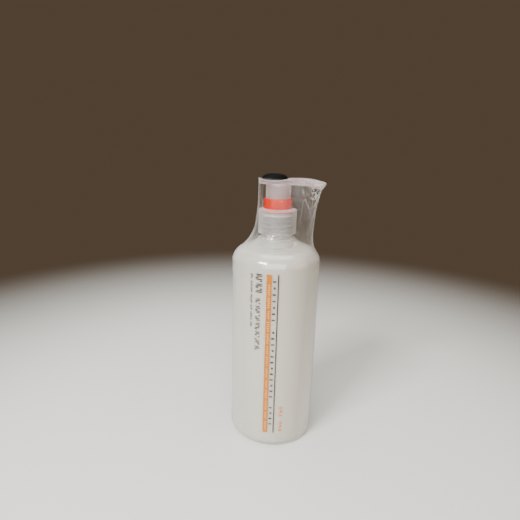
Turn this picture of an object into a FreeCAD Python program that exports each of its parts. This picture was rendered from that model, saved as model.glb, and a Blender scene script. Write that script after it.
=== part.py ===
import FreeCAD, Part
import math
import os

os.makedirs("parts", exist_ok=True)

# A round lotion bottle with a screw-on pump, standing on z = 0 with its axis on Z.
# The spout points along +X. All sizes are in millimetres.

# bottle body
BODY_R = 33.0
WALL = 1.0
BASE_CORNER_R = 5.5
PUNT_R = 24.0
PUNT_RISE = 3.0
SHOULDER_Z = 141.0
SHOULDER_R = 13.9
CONE_ANGLE = 21.8
CONE_TURN = 90 - CONE_ANGLE
CONE_SLOPE = math.tan(math.radians(CONE_ANGLE))
PEDESTAL_FOOT_R = 19.5
PEDESTAL_R = 14.4
PEDESTAL_TOP_Z = 160.3
PEDESTAL_EDGE = 0.6

# 24 mm screw neck
NECK_R = 10.85
NECK_BORE_R = 8.9
NECK_TOP_Z = 177.0
BEAD_R = 11.05
BEAD_TOP_Z = 164.2
THREAD_CREST_R = 11.95
THREAD_PITCH = 3.175
THREAD_TURNS = 2.5
THREAD_START_Z = 167.0
THREAD_ROOT_WIDTH = 1.7
THREAD_CREST_WIDTH = 0.8
THREAD_ROOT_DEPTH = 0.3

# closure
CLOSURE_R = 14.0
CLOSURE_BOTTOM_Z = 164.1
CLOSURE_TOP_Z = 182.3
CLOSURE_PLATE = 1.8
CLOSURE_RIM_DROP = 0.9
CLOSURE_EDGE = 0.2
CLOSURE_BORE_R = 12.35
CLOSURE_THREAD_CREST_R = 11.25
CLOSURE_THREAD_ROOT_WIDTH = 1.3
CLOSURE_THREAD_CREST_WIDTH = 0.7
CLOSURE_THREAD_TURNS = 2.25

# clearances
FACE_GAP = 0.03
RUNNING_GAP = 0.06

# flanges stacked on the neck's rim
GASKET_THICKNESS = 0.94
FLANGE_R = 11.7
FLANGE_THICKNESS = 1.2
FLANGE_Z = NECK_TOP_Z + GASKET_THICKNESS + 2 * FACE_GAP
COLLAR_FLANGE_Z = FLANGE_Z + FLANGE_THICKNESS + FACE_GAP

# collar ring
COLLAR_R = 10.36
COLLAR_BORE_R = 9.45
COLLAR_TOP_Z = 189.6
COLLAR_FLOOR_Z = 180.2
COLLAR_SPIGOT_R = 5.76
COLLAR_SPIGOT = 6.0

# pump works
STEM_R = 3.0
STEM_BORE_R = 1.7
STEM_TOP_Z = 197.5
HOUSING_R = 6.8
CYLINDER_R = 5.8
SPRING_LEDGE_Z = 146.0
CHAMBER_R = 2.9
CHAMBER_OUTER_R = 4.2
SEAT_Z = 139.5
SEAT_R = 1.6
SEAT_THICKNESS = 1.5
BALL_R = 2.2
BALL_LIFT = 1.5
CAGE_R = 1.9
CAGE_THICKNESS = 0.8
SOCKET_R = 3.6
SOCKET_FOOT_Z = 129.0
TUBE_R = 2.5
TUBE_BORE_R = 1.8
TUBE_FOOT_Z = 7.0
TUBE_SLANT = 30
PISTON_R = 5.75
PISTON_LENGTH = 8.0
PISTON_LIP = 1.2
PISTON_RELIEF = 0.7
ROD_TOP_Z = 160.5
ROD_FLANGE_R = 4.9
ROD_FLANGE = 2.4
ROD_PLUG = 6.0
ROD_GUIDE = 3.0
SPRING_R = 4.3
SPRING_WIRE_R = 0.45
SPRING_WIRE_SIDES = 16
SPRING_TURNS = 4.0

# actuator head
SKIRT_R = 9.12
SKIRT_WALL = 0.95
SKIRT_BOTTOM_Z = 188.4
HEAD_UNDERSIDE_Z = 199.5
HEAD_HOLLOW_TOP_Z = 199.6
BOSS_R = 4.6
BOSS_BOTTOM_Z = 189.2
PASSAGE_Z = 198.2
PASSAGE_R = 1.25
PASSAGE_WALL_R = 2.5
HEAD_HALF_WIDTH = 8.6
HEAD_REAR_X = -14.2
SPOUT_TIP_X = 33.6
SPOUT_HALF_WIDTH = 3.9

# thumb pad
PAD_CENTRE_X = -2.85
PAD_HALF_LENGTH = 9.5
PAD_HALF_WIDTH = 6.4
PAD_FIT = 0.05
PAD_FLOOR_Z = 201.1
PAD_RIM_Z = 203.2
PAD_DOME = 3.7

# contents
FILL_GAP = 0.06
FILL_LEVEL_Z = 152.8
PUMP_WELL_R = 7.4
TUBE_WELL_R = 3.4

# shrink film: (height, reach to the rear, reach to the front, half width, squareness) of the tent
FILM = 0.25
FILM_GAP = 0.12
WRAP_BOTTOM_Z = 1.5
WRAP_TOP_Z = 149.5
HOOD_BOTTOM_Z = 138.0
HOOD_POINTS = 48
HOOD_SECTIONS = [
    (HOOD_BOTTOM_Z, 33.9, 33.9, 33.9, 2.0),
    (SHOULDER_Z, 33.9, 33.9, 33.9, 2.0),
    (145.0, 33.4, 33.4, 33.4, 2.0),
    (150.0, 31.2, 31.2, 31.2, 2.0),
    (156.0, 25.0, 27.2, 24.0, 2.0),
    (163.0, 20.0, 26.6, 18.6, 2.0),
    (172.0, 17.4, 26.8, 16.6, 2.0),
    (182.0, 15.9, 28.3, 15.6, 2.1),
    (192.0, 15.5, 31.0, 12.8, 2.3),
    (200.4, 15.4, 35.0, 10.9, 2.9),
    (202.4, 15.4, 31.5, 10.7, 2.9),
    (203.8, 15.2, 24.0, 10.3, 2.7),
    (205.4, 13.6, 10.5, 8.0, 2.2),
    (207.5, 9.8, 4.6, 4.8, 2.0),
]


def point(r, z):
    return FreeCAD.Vector(r, 0, z)


def line(a, b):
    return Part.makeLine(point(*a), point(*b))


def bend(a, middle, b):
    return Part.Arc(point(*a), point(*middle), point(*b)).toShape()


def curve(points):
    """Smooth curve in the XZ plane through the points, in order."""
    spline = Part.BSplineCurve()
    spline.interpolate([point(*p) for p in points])
    return spline.toShape()


def turn_arc(centre, radius, start, end):
    """Arc in the XZ plane about centre, between two angles in degrees from +X towards +Z."""
    at = [
        (centre[0] + radius * math.cos(math.radians(a)), centre[1] + radius * math.sin(math.radians(a)))
        for a in (start, 0.5 * (start + end), end)
    ]
    return bend(*at)


def spin(edges):
    """Solid of revolution about Z from a closed outline in the XZ plane."""
    face = Part.Face(Part.Wire(edges))
    return face.revolve(FreeCAD.Vector(0, 0, 0), FreeCAD.Vector(0, 0, 1), 360)


def spin_points(points):
    """Solid of revolution from straight lines through (radius, height) pairs."""
    return spin([line(a, b) for a, b in zip(points, points[1:] + points[:1])])


def tube(outer, inner, bottom, top):
    return spin_points([(inner, bottom), (outer, bottom), (outer, top), (inner, top)])


def cylinder(radius, bottom, top):
    return Part.makeCylinder(radius, top - bottom, FreeCAD.Vector(0, 0, bottom))


def save(shape, node):
    shape.exportStep("parts/%s.step" % node)
    print("%-14s volume %9.1f mm3 valid %s" % (node, shape.Volume, shape.isValid()))


def on_shoulder(offset, angle):
    """Point of the shoulder's round at an angle above the horizontal, moved out by offset."""
    radius = SHOULDER_R + offset
    centre_r = BODY_R - SHOULDER_R
    return (
        centre_r + radius * math.cos(math.radians(angle)),
        SHOULDER_Z + radius * math.sin(math.radians(angle)),
    )


def side_edges(offset, corner_start, shoulder_end):
    """Base corner, straight side and shoulder round, moved out by offset."""
    corner = (BODY_R - BASE_CORNER_R, BASE_CORNER_R)
    side = BODY_R + offset
    return [
        turn_arc(corner, BASE_CORNER_R + offset, corner_start, 0),
        line((side, BASE_CORNER_R), (side, SHOULDER_Z)),
        turn_arc((BODY_R - SHOULDER_R, SHOULDER_Z), SHOULDER_R + offset, 0, shoulder_end),
    ]


def base_edges(offset):
    """Dished base from the axis to the standing ring, moved up by -offset."""
    lift = -offset
    ring_r = BODY_R - BASE_CORNER_R
    return [
        bend((0, PUNT_RISE + lift), (PUNT_R / 2, PUNT_RISE * 3 / 4 + lift), (PUNT_R, lift)),
        line((PUNT_R, lift), (ring_r, lift)),
    ]


def cone_z(offset, r):
    """Height of the shoulder's cone at radius r, for the surface moved out by offset."""
    start = on_shoulder(offset, CONE_TURN)
    return start[1] + (start[0] - r) * CONE_SLOPE


def thread(root_r, crest_r, root_width, crest_width, turns, start_z):
    """Right-hand thread of trapezoid section, rooted a little inside the wall that carries it."""
    helix = Part.makeHelix(THREAD_PITCH, turns * THREAD_PITCH, 0.5 * (root_r + crest_r))
    helix.translate(FreeCAD.Vector(0, 0, start_z))
    corners = [
        point(root_r, start_z - root_width / 2),
        point(crest_r, start_z - crest_width / 2),
        point(crest_r, start_z + crest_width / 2),
        point(root_r, start_z + root_width / 2),
    ]
    profile = Part.makePolygon(corners + corners[:1])
    return Part.Wire(helix.Edges).makePipeShell([profile], True, True)


def bottle():
    foot_z = cone_z(0, PEDESTAL_FOOT_R)
    outer = base_edges(0) + side_edges(0, -90, CONE_TURN)
    outer += [
        line(on_shoulder(0, CONE_TURN), (PEDESTAL_FOOT_R, foot_z)),
        bend((PEDESTAL_FOOT_R, foot_z), (16.6, 157.7), (PEDESTAL_R, PEDESTAL_TOP_Z - PEDESTAL_EDGE)),
        line((PEDESTAL_R, PEDESTAL_TOP_Z - PEDESTAL_EDGE), (PEDESTAL_R - PEDESTAL_EDGE, PEDESTAL_TOP_Z)),
        line((PEDESTAL_R - PEDESTAL_EDGE, PEDESTAL_TOP_Z), (BEAD_R, PEDESTAL_TOP_Z)),
        line((BEAD_R, PEDESTAL_TOP_Z), (BEAD_R, BEAD_TOP_Z)),
        line((BEAD_R, BEAD_TOP_Z), (NECK_R, BEAD_TOP_Z + BEAD_R - NECK_R)),
        line((NECK_R, BEAD_TOP_Z + BEAD_R - NECK_R), (NECK_R, NECK_TOP_Z)),
        line((NECK_R, NECK_TOP_Z), (0, NECK_TOP_Z)),
        line((0, NECK_TOP_Z), (0, PUNT_RISE)),
    ]
    inner_top = NECK_TOP_Z + 1
    inner_foot_z = cone_z(-WALL, PEDESTAL_FOOT_R)
    inner = base_edges(-WALL) + side_edges(-WALL, -90, CONE_TURN)
    inner += [
        line(on_shoulder(-WALL, CONE_TURN), (PEDESTAL_FOOT_R, inner_foot_z)),
        bend((PEDESTAL_FOOT_R, inner_foot_z), (14.6, 157.6), (NECK_BORE_R + WALL, PEDESTAL_TOP_Z - WALL)),
        line((NECK_BORE_R + WALL, PEDESTAL_TOP_Z - WALL), (NECK_BORE_R, PEDESTAL_TOP_Z)),
        line((NECK_BORE_R, PEDESTAL_TOP_Z), (NECK_BORE_R, inner_top)),
        line((NECK_BORE_R, inner_top), (0, inner_top)),
        line((0, inner_top), (0, PUNT_RISE + WALL)),
    ]
    neck_thread = thread(
        NECK_R - THREAD_ROOT_DEPTH,
        THREAD_CREST_R,
        THREAD_ROOT_WIDTH,
        THREAD_CREST_WIDTH,
        THREAD_TURNS,
        THREAD_START_Z,
    )
    return spin(outer).fuse(neck_thread).cut(spin(inner))


def cream_fill():
    """Contents up to the fill level, with wells for the pump's housing and its tube."""
    gap = WALL + FILL_GAP
    level_angle = math.degrees(math.asin((FILL_LEVEL_Z - SHOULDER_Z) / (SHOULDER_R - gap)))
    edges = base_edges(-gap) + side_edges(-gap, -90, level_angle)
    edges += [
        line(on_shoulder(-gap, level_angle), (0, FILL_LEVEL_Z)),
        line((0, FILL_LEVEL_Z), (0, PUNT_RISE + gap)),
    ]
    pump_well = cylinder(PUMP_WELL_R, SOCKET_FOOT_Z - 1, FILL_LEVEL_Z + 1)
    tube_well = cylinder(TUBE_WELL_R, TUBE_FOOT_Z - 1, FILL_LEVEL_Z + 1)
    return spin(edges).cut(pump_well).cut(tube_well)


def film_wrap():
    """Film over the body: two copies of the bottle's side, joined at the hem and at the top."""
    inside = FILM_GAP
    outside = FILM_GAP + FILM
    rise = BASE_CORNER_R - WRAP_BOTTOM_Z
    hem = [-math.degrees(math.asin(rise / (BASE_CORNER_R + o))) for o in (inside, outside)]
    top = [math.degrees(math.asin((WRAP_TOP_Z - SHOULDER_Z) / (SHOULDER_R + o))) for o in (inside, outside)]
    inner = side_edges(inside, hem[0], top[0])
    outer = side_edges(outside, hem[1], top[1])
    hem_points = [
        (BODY_R - BASE_CORNER_R + (BASE_CORNER_R + o) * math.cos(math.radians(a)), WRAP_BOTTOM_Z)
        for o, a in zip((inside, outside), hem)
    ]
    closing = [
        line(on_shoulder(inside, top[0]), on_shoulder(outside, top[1])),
        line(hem_points[0], hem_points[1]),
    ]
    return spin(Part.__sortEdges__(inner + outer + closing))


def hood_section(z, rear, front, half_width, squareness, shrink):
    """Closed outline round the pump: a superellipse from -rear to front, moved in by shrink."""
    centre = (front - rear) / 2
    half_length = (front + rear) / 2 - shrink
    width = half_width - shrink
    points = []
    for step in range(HOOD_POINTS):
        angle = 2 * math.pi * step / HOOD_POINTS
        c = math.cos(angle)
        s = math.sin(angle)
        x = centre + half_length * math.copysign(abs(c) ** (2 / squareness), c)
        y = width * math.copysign(abs(s) ** (2 / squareness), s)
        points.append(FreeCAD.Vector(x, y, z - shrink * (z > HOOD_BOTTOM_Z)))
    spline = Part.BSplineCurve()
    spline.interpolate(points, True)
    return Part.Wire(spline.toShape())


def film_hood():
    """Film tent from the shoulder to over the pump head, one thin shell open at the bottom."""
    outer = Part.makeLoft([hood_section(*row, 0) for row in HOOD_SECTIONS], True, True)
    inner = Part.makeLoft([hood_section(*row, FILM) for row in HOOD_SECTIONS], True, True)
    return outer.cut(inner)


def closure():
    """Screw cap: a plate that falls slightly to its rim, with a hole for the collar, and a threaded wall."""
    underside = CLOSURE_TOP_Z - CLOSURE_PLATE
    hole_r = COLLAR_R + RUNNING_GAP
    rim = CLOSURE_TOP_Z - CLOSURE_RIM_DROP
    shell = spin_points(
        [
            (CLOSURE_BORE_R, CLOSURE_BOTTOM_Z),
            (CLOSURE_R, CLOSURE_BOTTOM_Z),
            (CLOSURE_R, rim - CLOSURE_EDGE),
            (CLOSURE_R - CLOSURE_EDGE, rim),
            (hole_r + CLOSURE_EDGE, CLOSURE_TOP_Z),
            (hole_r, CLOSURE_TOP_Z),
            (hole_r, underside),
            (CLOSURE_BORE_R, underside),
        ]
    )
    inner_thread = thread(
        CLOSURE_BORE_R + THREAD_ROOT_DEPTH,
        CLOSURE_THREAD_CREST_R,
        CLOSURE_THREAD_ROOT_WIDTH,
        CLOSURE_THREAD_CREST_WIDTH,
        CLOSURE_THREAD_TURNS,
        THREAD_START_Z - THREAD_PITCH / 2,
    )
    return shell.fuse(inner_thread)


def neck_gasket():
    bottom = NECK_TOP_Z + FACE_GAP
    return tube(FLANGE_R, NECK_BORE_R, bottom, bottom + GASKET_THICKNESS)


def pump_housing():
    """Cylinder with a flange, a spring ledge, a caged ball chamber with its seat, and a tube socket."""
    outside = spin_points(
        [
            (0, SOCKET_FOOT_Z),
            (SOCKET_R, SOCKET_FOOT_Z),
            (SOCKET_R, SEAT_Z),
            (CHAMBER_OUTER_R, SEAT_Z + 1),
            (CHAMBER_OUTER_R, SPRING_LEDGE_Z - 3),
            (HOUSING_R, SPRING_LEDGE_Z),
            (HOUSING_R, FLANGE_Z),
            (FLANGE_R, FLANGE_Z),
            (FLANGE_R, FLANGE_Z + FLANGE_THICKNESS),
            (0, FLANGE_Z + FLANGE_THICKNESS),
        ]
    )
    bore = cylinder(CYLINDER_R, SPRING_LEDGE_Z, FLANGE_Z + FLANGE_THICKNESS + 1)
    cage_z = ball_seat_z() + BALL_LIFT + math.sqrt(BALL_R**2 - CAGE_R**2) + FACE_GAP
    chamber = cylinder(CHAMBER_R, SEAT_Z, cage_z)
    cage = cylinder(CAGE_R, SEAT_Z, cage_z + CAGE_THICKNESS)
    above_cage = cylinder(CHAMBER_R, cage_z + CAGE_THICKNESS, SPRING_LEDGE_Z + 1)
    inlet = cylinder(SEAT_R, SOCKET_FOOT_Z - 1, SEAT_Z + 1)
    socket = cylinder(TUBE_R + FACE_GAP, SOCKET_FOOT_Z - 1, SEAT_Z - SEAT_THICKNESS)
    for hollow in (bore, chamber, cage, above_cage, inlet, socket):
        outside = outside.cut(hollow)
    return outside


def collar_ring():
    """Collar: a cup for the head's skirt, a flange under the closure and a spigot in the housing."""
    hole_r = STEM_R + RUNNING_GAP
    spigot_foot = COLLAR_FLANGE_Z - COLLAR_SPIGOT
    return spin_points(
        [
            (hole_r, spigot_foot),
            (COLLAR_SPIGOT_R, spigot_foot),
            (COLLAR_SPIGOT_R, COLLAR_FLANGE_Z),
            (FLANGE_R, COLLAR_FLANGE_Z),
            (FLANGE_R, COLLAR_FLOOR_Z),
            (COLLAR_R, COLLAR_FLOOR_Z),
            (COLLAR_R, COLLAR_TOP_Z),
            (COLLAR_BORE_R, COLLAR_TOP_Z),
            (COLLAR_BORE_R, COLLAR_FLOOR_Z),
            (hole_r, COLLAR_FLOOR_Z),
        ]
    )


def dip_tube():
    """Suction tube from the housing's socket to just over the base, cut off at a slant."""
    top = SEAT_Z - SEAT_THICKNESS - FACE_GAP
    body = tube(TUBE_R, TUBE_BORE_R, TUBE_FOOT_Z, top)
    slant = Part.makeBox(20, 20, 10, FreeCAD.Vector(-10, -10, -10))
    slant.rotate(FreeCAD.Vector(0, 0, 0), FreeCAD.Vector(0, 1, 0), TUBE_SLANT)
    slant.translate(FreeCAD.Vector(0, 0, TUBE_FOOT_Z + TUBE_R))
    return body.cut(slant)


def stem():
    return tube(STEM_R, STEM_BORE_R, ROD_TOP_Z + FACE_GAP, STEM_TOP_Z)


def piston():
    """Sleeve with a sealing lip at each end; it rests on the rod's flange."""
    bottom = ROD_TOP_Z + FACE_GAP
    top = bottom + PISTON_LENGTH
    waist_r = PISTON_R - PISTON_RELIEF
    inner_r = STEM_R + RUNNING_GAP
    return spin_points(
        [
            (inner_r, bottom),
            (PISTON_R, bottom),
            (PISTON_R, bottom + PISTON_LIP),
            (waist_r, bottom + PISTON_LIP + PISTON_RELIEF),
            (waist_r, top - PISTON_LIP - PISTON_RELIEF),
            (PISTON_R, top - PISTON_LIP),
            (PISTON_R, top),
            (inner_r, top),
        ]
    )


def piston_rod():
    """Plug pushed into the stem's foot, with the flange that lifts the piston."""
    foot = ROD_TOP_Z - ROD_FLANGE
    plug_r = STEM_BORE_R - FACE_GAP
    guide_r = SPRING_R - SPRING_WIRE_R - 2 * RUNNING_GAP
    return spin_points(
        [
            (0, foot - ROD_GUIDE),
            (guide_r, foot - ROD_GUIDE),
            (guide_r, foot),
            (ROD_FLANGE_R, foot),
            (ROD_FLANGE_R, ROD_TOP_Z),
            (plug_r, ROD_TOP_Z),
            (plug_r, ROD_TOP_Z + ROD_PLUG),
            (0, ROD_TOP_Z + ROD_PLUG),
        ]
    )


def return_spring():
    """Steel coil between the ledge in the housing and the rod's flange, its round wire faceted."""
    low = SPRING_LEDGE_Z + SPRING_WIRE_R + FACE_GAP
    high = ROD_TOP_Z - ROD_FLANGE - SPRING_WIRE_R - FACE_GAP
    pitch = (high - low) / SPRING_TURNS
    helix = Part.makeHelix(pitch, high - low, SPRING_R)
    helix.translate(FreeCAD.Vector(0, 0, low))
    along = FreeCAD.Vector(0, 2 * math.pi * SPRING_R, pitch).normalize()
    outward = FreeCAD.Vector(1, 0, 0)
    across = along.cross(outward)
    ring = []
    for side in range(SPRING_WIRE_SIDES):
        angle = 2 * math.pi * side / SPRING_WIRE_SIDES
        spoke = outward * math.cos(angle) + across * math.sin(angle)
        ring.append(FreeCAD.Vector(SPRING_R, 0, low) + spoke * SPRING_WIRE_R)
    profile = Part.makePolygon(ring + ring[:1])
    return Part.Wire(helix.Edges).makePipeShell([profile], True, True)


def ball_seat_z():
    """Height of the ball's centre when it rests on the rim of its seat."""
    return SEAT_Z + math.sqrt(BALL_R**2 - SEAT_R**2) + FACE_GAP


def check_ball():
    return Part.makeSphere(BALL_R, FreeCAD.Vector(0, 0, ball_seat_z()))


def rod_between(a, b, radius):
    """Round bar from one (x, z) point to another, with a ball at each end."""
    start = point(*a)
    along = point(*b) - start
    bar = Part.makeCylinder(radius, along.Length, start, along)
    return bar.fuse(Part.makeSphere(radius, start)).fuse(Part.makeSphere(radius, point(*b)))


def head_side_face():
    """Side view of the head: flat underside, drooping spout, crest, dip and rear lip."""
    tip_low = (SPOUT_TIP_X - 3.5, 196.4)
    tip_high = (SPOUT_TIP_X, 200.3)
    rear_low = (HEAD_REAR_X + 0.3, HEAD_UNDERSIDE_Z)
    rear_high = (HEAD_REAR_X, 203.2)
    under_skirt = (-2, HEAD_UNDERSIDE_Z)
    crest = [(28.8, 201.8), (23, 202.95), (15, 203.9), (7.5, 203.6)]
    saddle = [(2, 203.0), (-3.5, 202.8), (-10, 202.95)]
    edges = [
        line(rear_low, under_skirt),
        curve([under_skirt, (4, 199.15), (9.2, 198.35), (14, 198.6), (21, 198.25), tip_low]),
        line(tip_low, tip_high),
        curve([tip_high] + crest + saddle + [rear_high]),
        line(rear_high, rear_low),
    ]
    face = Part.Face(Part.Wire(edges))
    face.translate(FreeCAD.Vector(0, -HEAD_HALF_WIDTH - 1, 0))
    return face


def head_plan_face():
    """View from above of the head: an oval thumb rest that narrows into the spout."""
    right = [
        (HEAD_REAR_X, 0),
        (-13.3, 4.4),
        (-9.5, 7.6),
        (-3, HEAD_HALF_WIDTH),
        (4, 8.1),
        (10, 6.3),
        (16, 5.0),
        (24, 4.3),
        (SPOUT_TIP_X, SPOUT_HALF_WIDTH),
    ]
    whole = [FreeCAD.Vector(x, -y, 0) for x, y in reversed(right)]
    whole += [FreeCAD.Vector(x, y, 0) for x, y in right[1:]]
    outline = Part.BSplineCurve()
    outline.interpolate(whole)
    tip = Part.makeLine(whole[-1], whole[0])
    face = Part.Face(Part.Wire([outline.toShape(), tip]))
    face.translate(FreeCAD.Vector(0, 0, HEAD_UNDERSIDE_Z - 5))
    return face


def actuator_head():
    side = head_side_face().extrude(FreeCAD.Vector(0, 2 * HEAD_HALF_WIDTH + 2, 0))
    plan = head_plan_face().extrude(FreeCAD.Vector(0, 0, 15))
    skirt = cylinder(SKIRT_R, SKIRT_BOTTOM_Z, HEAD_HOLLOW_TOP_Z)
    hollow = tube(SKIRT_R - SKIRT_WALL, BOSS_R, SKIRT_BOTTOM_Z - 1, HEAD_HOLLOW_TOP_Z)
    under_boss = cylinder(BOSS_R, SKIRT_BOTTOM_Z - 1, BOSS_BOTTOM_Z)
    start = (0, PASSAGE_Z)
    crest = (13.0, PASSAGE_Z + 2.55)
    mouth = (SPOUT_TIP_X + 2, 197.2)
    inside_skirt = cylinder(SKIRT_R - SKIRT_WALL / 2, HEAD_UNDERSIDE_Z - 5, HEAD_HOLLOW_TOP_Z + 1)
    passage_wall = rod_between(start, crest, PASSAGE_WALL_R).common(inside_skirt)
    solid = side.common(plan).fuse(skirt).cut(hollow).cut(under_boss).fuse(passage_wall)
    stem_socket = cylinder(STEM_R + FACE_GAP, SKIRT_BOTTOM_Z - 1, STEM_TOP_Z + FACE_GAP)
    drop = cylinder(PASSAGE_R, STEM_TOP_Z, PASSAGE_Z)
    passage = rod_between(start, crest, PASSAGE_R).fuse(rod_between(crest, mouth, PASSAGE_R))
    solid = solid.cut(stem_socket).cut(drop).cut(passage)
    return solid.cut(pad_column(PAD_FIT, PAD_FLOOR_Z, PAD_RIM_Z + 2))


def pad_column(grow, bottom, top):
    """Upright column of the pad's oval outline, grown by a clearance."""
    centre = FreeCAD.Vector(PAD_CENTRE_X, 0, bottom)
    oval = Part.Ellipse(centre, PAD_HALF_LENGTH + grow, PAD_HALF_WIDTH + grow).toShape()
    return Part.Face(Part.Wire(oval)).extrude(FreeCAD.Vector(0, 0, top - bottom))


def thumb_pad():
    """Soft oval insert: a column that fills the pocket, under half an ellipsoid."""
    ball = Part.makeSphere(1, FreeCAD.Vector(0, 0, 0), FreeCAD.Vector(0, 0, 1), 0, 90, 360)
    stretch = FreeCAD.Matrix()
    stretch.scale(FreeCAD.Vector(PAD_HALF_LENGTH, PAD_HALF_WIDTH, PAD_DOME))
    dome = ball.transformGeometry(stretch)
    dome.translate(FreeCAD.Vector(PAD_CENTRE_X, 0, PAD_RIM_Z))
    return pad_column(0, PAD_FLOOR_Z + FACE_GAP, PAD_RIM_Z).fuse(dome)


for piece in (
    bottle,
    cream_fill,
    film_wrap,
    film_hood,
    closure,
    neck_gasket,
    collar_ring,
    pump_housing,
    dip_tube,
    stem,
    piston,
    piston_rod,
    return_spring,
    check_ball,
    actuator_head,
    thumb_pad,
):
    save(piece(), piece.__name__)
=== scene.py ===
import math
import bmesh
import bpy
import numpy as np
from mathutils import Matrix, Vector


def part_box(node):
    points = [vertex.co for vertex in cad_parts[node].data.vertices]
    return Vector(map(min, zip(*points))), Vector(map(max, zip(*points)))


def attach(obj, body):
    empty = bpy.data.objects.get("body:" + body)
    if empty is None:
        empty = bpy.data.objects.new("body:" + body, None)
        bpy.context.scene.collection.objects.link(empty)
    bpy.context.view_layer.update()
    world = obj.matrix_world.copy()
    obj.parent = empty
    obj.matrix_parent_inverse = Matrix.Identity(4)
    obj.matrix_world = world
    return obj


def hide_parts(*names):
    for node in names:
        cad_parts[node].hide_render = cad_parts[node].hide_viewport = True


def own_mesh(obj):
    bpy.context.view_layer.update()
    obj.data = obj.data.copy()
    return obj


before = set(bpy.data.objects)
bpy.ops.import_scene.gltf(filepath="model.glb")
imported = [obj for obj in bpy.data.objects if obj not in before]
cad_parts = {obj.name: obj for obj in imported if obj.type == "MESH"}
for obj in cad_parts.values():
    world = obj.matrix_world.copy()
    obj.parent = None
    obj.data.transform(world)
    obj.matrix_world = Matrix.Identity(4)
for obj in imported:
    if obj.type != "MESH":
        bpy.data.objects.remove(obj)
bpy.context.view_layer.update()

# The pump bottle stands on z = 0 with its axis on Z and its spout along +X.
# Outlines below are written in millimetres and turned to metres when a mesh is made.
MM = 0.001
TURN = 2 * math.pi


def top_of(node):
    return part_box(node)[1].z / MM


def foot_of(node):
    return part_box(node)[0].z / MM


def radius_of(node):
    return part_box(node)[1].y / MM


BODY_R = radius_of("bottle")
NECK_TOP = top_of("bottle")
CLOSURE_R = radius_of("closure")
CLOSURE_FOOT = foot_of("closure")
CLOSURE_TOP = top_of("closure")
COLLAR_TOP = top_of("collar_ring")
FLANGE_R = radius_of("collar_ring")
HEAD_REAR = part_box("actuator_head")[0].x / MM
SPOUT_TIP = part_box("actuator_head")[1].x / MM
SKIRT_FOOT = foot_of("actuator_head")
HOOD_FOOT = foot_of("film_hood")
FILL_LEVEL = top_of("cream_fill")
PITCH = 3.175

# Zones of the film in metres: where each change starts and where it is complete.
PAD_RIM = (0.2032, 0.2042)
BELOW_TIP_X = (0.020, 0.028)
BELOW_TIP_Z = (0.170, 0.192)
PUMP_SIDE = (0.010, 0.014)
JOIN_FADE = (0.0008, 0.005)


# ---------------------------------------------------------------- colour and node helpers


def colour(code):
    """Linear RGBA from an sRGB hex code."""
    channels = [int(code[i : i + 2], 16) / 255 for i in (1, 3, 5)]
    return [c / 12.92 if c <= 0.04045 else ((c + 0.055) / 1.055) ** 2.4 for c in channels] + [1.0]


def add(tree, kind, inputs=None, **settings):
    """A node with its settings, and its inputs by name or index: a value or another node's output."""
    node = tree.nodes.new(kind)
    for name, value in settings.items():
        setattr(node, name, value)
    for name, value in (inputs or {}).items():
        socket = node.inputs[name]
        if isinstance(value, bpy.types.NodeSocket):
            tree.links.new(value, socket)
        else:
            socket.default_value = value
    return node


def blank(name):
    """An empty material's tree and its output node."""
    material = bpy.data.materials.new(name)
    material.use_nodes = True
    material.node_tree.nodes.clear()
    return material, material.node_tree, add(material.node_tree, "ShaderNodeOutputMaterial")


def speckle(tree, per_metre, detail=2.0, stretch=(1, 1, 1), rough=0.5):
    """Noise in object space with so many grains to the metre, stretched by a scale on each axis."""
    place = add(tree, "ShaderNodeTexCoord").outputs["Object"]
    mapping = add(tree, "ShaderNodeMapping", {"Vector": place, "Scale": stretch})
    settings = {"Vector": mapping.outputs[0], "Scale": per_metre, "Detail": detail, "Roughness": rough}
    return add(tree, "ShaderNodeTexNoise", settings).outputs["Fac"]


def between(tree, value, low, high, start=0.0, end=1.0):
    """A number that runs from low to high as value runs from start to end."""
    settings = {"Value": value, "From Min": start, "From Max": end, "To Min": low, "To Max": high}
    return add(tree, "ShaderNodeMapRange", settings).outputs["Result"]


def blend_colour(tree, value, first, second):
    """Colour that runs from the first to the second as value goes from 0 to 1."""
    mix = add(tree, "ShaderNodeMix", data_type="RGBA")
    tree.links.new(value, mix.inputs["Factor"])
    mix.inputs[6].default_value = colour(first)
    mix.inputs[7].default_value = colour(second)
    return mix.outputs[2]


def both(tree, first, second):
    """Product of two numbers."""
    return add(tree, "ShaderNodeMath", {0: first, 1: second}, operation="MULTIPLY").outputs[0]


def fold_and_glint_lines(tree, per_metre, run, width):
    """Thin wandering lines where a slow noise crosses its middle, 1 on a line and 0 off it."""
    noise = speckle(tree, per_metre, 1.5, (1, 1, run), 0.5)
    off = add(tree, "ShaderNodeMath", {0: noise, 1: 0.5}, operation="SUBTRACT").outputs[0]
    off = add(tree, "ShaderNodeMath", {0: off}, operation="ABSOLUTE").outputs[0]
    return between(tree, off, 1.0, 0.0, 0.0, width)


def bump(tree, height, metres, strength=1.0):
    """Surface normal from a height, which counts as so many metres at 1."""
    settings = {"Height": height, "Distance": metres, "Strength": strength}
    return add(tree, "ShaderNodeBump", settings).outputs["Normal"]


# ---------------------------------------------------------------- materials


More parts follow.
